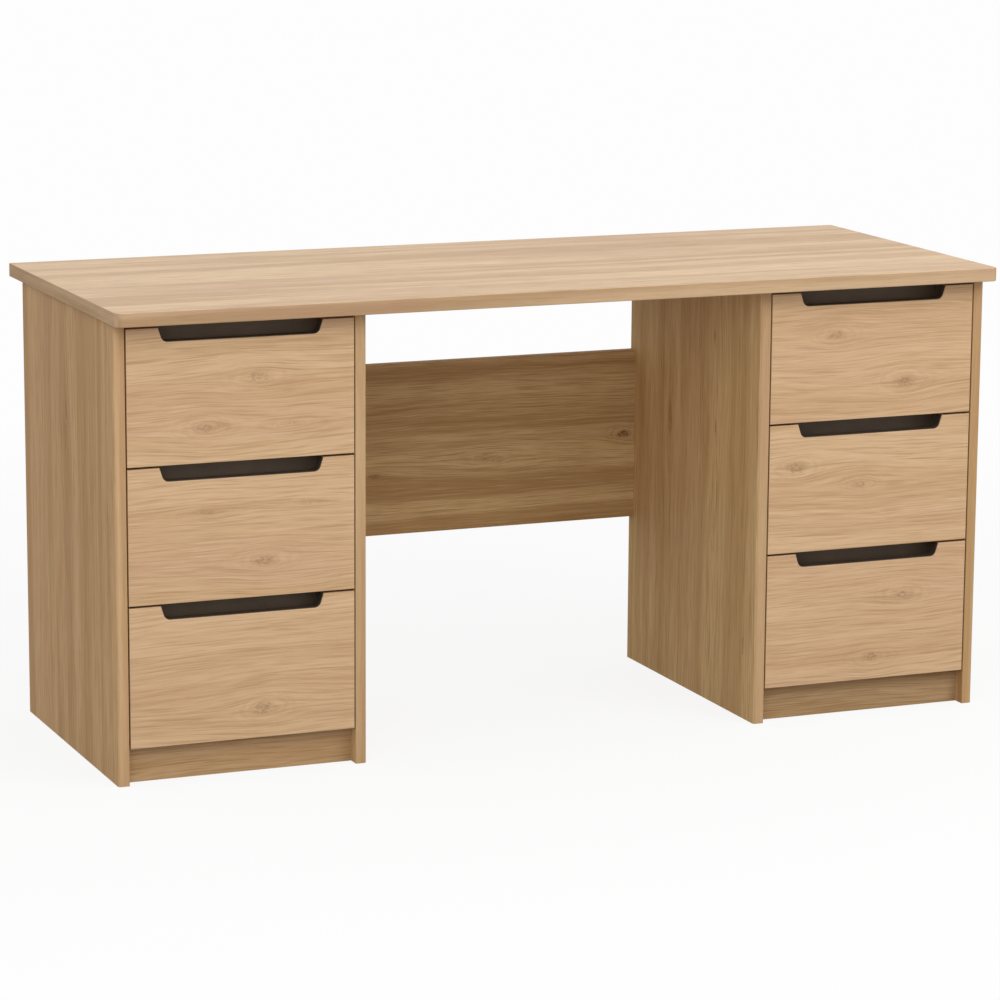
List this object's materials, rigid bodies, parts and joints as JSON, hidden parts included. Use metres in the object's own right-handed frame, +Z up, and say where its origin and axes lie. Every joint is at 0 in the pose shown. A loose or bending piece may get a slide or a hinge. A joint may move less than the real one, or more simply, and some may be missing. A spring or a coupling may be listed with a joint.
{
  "type": "pedestal desk",
  "caption": "Wood-effect pedestal desk with a board top over drawer chests at either end, cut-out grips in the inset drawer fronts and a modesty panel across the kneehole.",
  "frame": {"origin": "on the floor, under the middle of the desktop", "axes": "+X to the right of a person sitting at the desk, -Y to the front, +Z up"},
  "size_m": [1.5, 0.6, 0.74],
  "materials": {
    "oak_board": "light oak melamine, satin",
    "back_board": "oak print hardboard, matt",
    "grip_plastic": "dark brown, fine grained",
    "box_wrap": "pale foil wrapped board, satin",
    "bottom_board": "pale faced hardboard, matt",
    "runner_steel": "cream epoxy coated steel",
    "roller_nylon": "white nylon",
    "screw_steel": "zinc plated",
    "beech_dowel": "bare beech"
  },
  "bodies": {
    "desk_frame": {"desktop": "oak_board", "top_rails": "oak_board", "modesty_panel": "oak_board", "carcass_dowels": "beech_dowel", "top_fixing_screws": "screw_steel", "runner_screws": "screw_steel", "left_outer_side": "oak_board", "left_inner_side": "oak_board", "left_back_panel": "back_board", "left_base_panel": "oak_board", "left_plinth": "oak_board", "left_cabinet_runners": "runner_steel", "right_outer_side": "oak_board", "right_inner_side": "oak_board", "right_back_panel": "back_board", "right_base_panel": "oak_board", "right_plinth": "oak_board", "right_cabinet_runners": "runner_steel"},
    "left_bottom_drawer": {"left_bottom_drawer_front": "oak_board", "left_bottom_grip_cup": "grip_plastic", "left_bottom_drawer_box": "box_wrap", "left_bottom_drawer_bottom": "bottom_board", "left_bottom_drawer_runners": "runner_steel"},
    "left_bottom_front_roller_pair": {"left_bottom_front_rollers": "roller_nylon"},
    "left_bottom_rear_roller_pair": {"left_bottom_rear_rollers": "roller_nylon"},
    "left_middle_drawer": {"left_middle_drawer_front": "oak_board", "left_middle_grip_cup": "grip_plastic", "left_middle_drawer_box": "box_wrap", "left_middle_drawer_bottom": "bottom_board", "left_middle_drawer_runners": "runner_steel"},
    "left_middle_front_roller_pair": {"left_middle_front_rollers": "roller_nylon"},
    "left_middle_rear_roller_pair": {"left_middle_rear_rollers": "roller_nylon"},
    "left_top_drawer": {"left_top_drawer_front": "oak_board", "left_top_grip_cup": "grip_plastic", "left_top_drawer_box": "box_wrap", "left_top_drawer_bottom": "bottom_board", "left_top_drawer_runners": "runner_steel"},
    "left_top_front_roller_pair": {"left_top_front_rollers": "roller_nylon"},
    "left_top_rear_roller_pair": {"left_top_rear_rollers": "roller_nylon"},
    "right_bottom_drawer": {"right_bottom_drawer_front": "oak_board", "right_bottom_grip_cup": "grip_plastic", "right_bottom_drawer_box": "box_wrap", "right_bottom_drawer_bottom": "bottom_board", "right_bottom_drawer_runners": "runner_steel"},
    "right_bottom_front_roller_pair": {"right_bottom_front_rollers": "roller_nylon"},
    "right_bottom_rear_roller_pair": {"right_bottom_rear_rollers": "roller_nylon"},
    "right_middle_drawer": {"right_middle_drawer_front": "oak_board", "right_middle_grip_cup": "grip_plastic", "right_middle_drawer_box": "box_wrap", "right_middle_drawer_bottom": "bottom_board", "right_middle_drawer_runners": "runner_steel"},
    "right_middle_front_roller_pair": {"right_middle_front_rollers": "roller_nylon"},
    "right_middle_rear_roller_pair": {"right_middle_rear_rollers": "roller_nylon"},
    "right_top_drawer": {"right_top_drawer_front": "oak_board", "right_top_grip_cup": "grip_plastic", "right_top_drawer_box": "box_wrap", "right_top_drawer_bottom": "bottom_board", "right_top_drawer_runners": "runner_steel"},
    "right_top_front_roller_pair": {"right_top_front_rollers": "roller_nylon"},
    "right_top_rear_roller_pair": {"right_top_rear_rollers": "roller_nylon"}
  },
  "joints": [
    {"name": "left_bottom_drawer_slide", "type": "slide", "parent": "desk_frame", "child": "left_bottom_drawer", "axis": [0, -1, 0], "range_m": [0, 0.34]},
    {"name": "left_bottom_front_roller_spin", "type": "hinge", "parent": "desk_frame", "child": "left_bottom_front_roller_pair", "pos_m": [-0.541, -0.228, 0.1022], "axis": [1, 0, 0], "continuous": true},
    {"name": "left_bottom_rear_roller_spin", "type": "hinge", "parent": "left_bottom_drawer", "child": "left_bottom_rear_roller_pair", "pos_m": [-0.541, 0.1985, 0.1003], "axis": [1, 0, 0], "continuous": true},
    {"name": "left_middle_drawer_slide", "type": "slide", "parent": "desk_frame", "child": "left_middle_drawer", "axis": [0, -1, 0], "range_m": [0, 0.34]},
    {"name": "left_middle_front_roller_spin", "type": "hinge", "parent": "desk_frame", "child": "left_middle_front_roller_pair", "pos_m": [-0.541, -0.228, 0.31737], "axis": [1, 0, 0], "continuous": true},
    {"name": "left_middle_rear_roller_spin", "type": "hinge", "parent": "left_middle_drawer", "child": "left_middle_rear_roller_pair", "pos_m": [-0.541, 0.1985, 0.31547], "axis": [1, 0, 0], "continuous": true},
    {"name": "left_top_drawer_slide", "type": "slide", "parent": "desk_frame", "child": "left_top_drawer", "axis": [0, -1, 0], "range_m": [0, 0.34]},
    {"name": "left_top_front_roller_spin", "type": "hinge", "parent": "desk_frame", "child": "left_top_front_roller_pair", "pos_m": [-0.541, -0.228, 0.53253], "axis": [1, 0, 0], "continuous": true},
    {"name": "left_top_rear_roller_spin", "type": "hinge", "parent": "left_top_drawer", "child": "left_top_rear_roller_pair", "pos_m": [-0.541, 0.1985, 0.53063], "axis": [1, 0, 0], "continuous": true},
    {"name": "right_bottom_drawer_slide", "type": "slide", "parent": "desk_frame", "child": "right_bottom_drawer", "axis": [0, -1, 0], "range_m": [0, 0.34]},
    {"name": "right_bottom_front_roller_spin", "type": "hinge", "parent": "desk_frame", "child": "right_bottom_front_roller_pair", "pos_m": [0.541, -0.228, 0.1022], "axis": [1, 0, 0], "continuous": true},
    {"name": "right_bottom_rear_roller_spin", "type": "hinge", "parent": "right_bottom_drawer", "child": "right_bottom_rear_roller_pair", "pos_m": [0.541, 0.1985, 0.1003], "axis": [1, 0, 0], "continuous": true},
    {"name": "right_middle_drawer_slide", "type": "slide", "parent": "desk_frame", "child": "right_middle_drawer", "axis": [0, -1, 0], "range_m": [0, 0.34]},
    {"name": "right_middle_front_roller_spin", "type": "hinge", "parent": "desk_frame", "child": "right_middle_front_roller_pair", "pos_m": [0.541, -0.228, 0.31737], "axis": [1, 0, 0], "continuous": true},
    {"name": "right_middle_rear_roller_spin", "type": "hinge", "parent": "right_middle_drawer", "child": "right_middle_rear_roller_pair", "pos_m": [0.541, 0.1985, 0.31547], "axis": [1, 0, 0], "continuous": true},
    {"name": "right_top_drawer_slide", "type": "slide", "parent": "desk_frame", "child": "right_top_drawer", "axis": [0, -1, 0], "range_m": [0, 0.34]},
    {"name": "right_top_front_roller_spin", "type": "hinge", "parent": "desk_frame", "child": "right_top_front_roller_pair", "pos_m": [0.541, -0.228, 0.53253], "axis": [1, 0, 0], "continuous": true},
    {"name": "right_top_rear_roller_spin", "type": "hinge", "parent": "right_top_drawer", "child": "right_top_rear_roller_pair", "pos_m": [0.541, 0.1985, 0.53063], "axis": [1, 0, 0], "continuous": true}
  ],
  "couplings": [
    {"joint": "left_bottom_front_roller_spin", "follows": "left_bottom_drawer_slide", "rad_per_m": 125},
    {"joint": "left_bottom_rear_roller_spin", "follows": "left_bottom_drawer_slide", "rad_per_m": 125},
    {"joint": "left_middle_front_roller_spin", "follows": "left_middle_drawer_slide", "rad_per_m": 125},
    {"joint": "left_middle_rear_roller_spin", "follows": "left_middle_drawer_slide", "rad_per_m": 125},
    {"joint": "left_top_front_roller_spin", "follows": "left_top_drawer_slide", "rad_per_m": 125},
    {"joint": "left_top_rear_roller_spin", "follows": "left_top_drawer_slide", "rad_per_m": 125},
    {"joint": "right_bottom_front_roller_spin", "follows": "right_bottom_drawer_slide", "rad_per_m": 125},
    {"joint": "right_bottom_rear_roller_spin", "follows": "right_bottom_drawer_slide", "rad_per_m": 125},
    {"joint": "right_middle_front_roller_spin", "follows": "right_middle_drawer_slide", "rad_per_m": 125},
    {"joint": "right_middle_rear_roller_spin", "follows": "right_middle_drawer_slide", "rad_per_m": 125},
    {"joint": "right_top_front_roller_spin", "follows": "right_top_drawer_slide", "rad_per_m": 125},
    {"joint": "right_top_rear_roller_spin", "follows": "right_top_drawer_slide", "rad_per_m": 125}
  ]
}
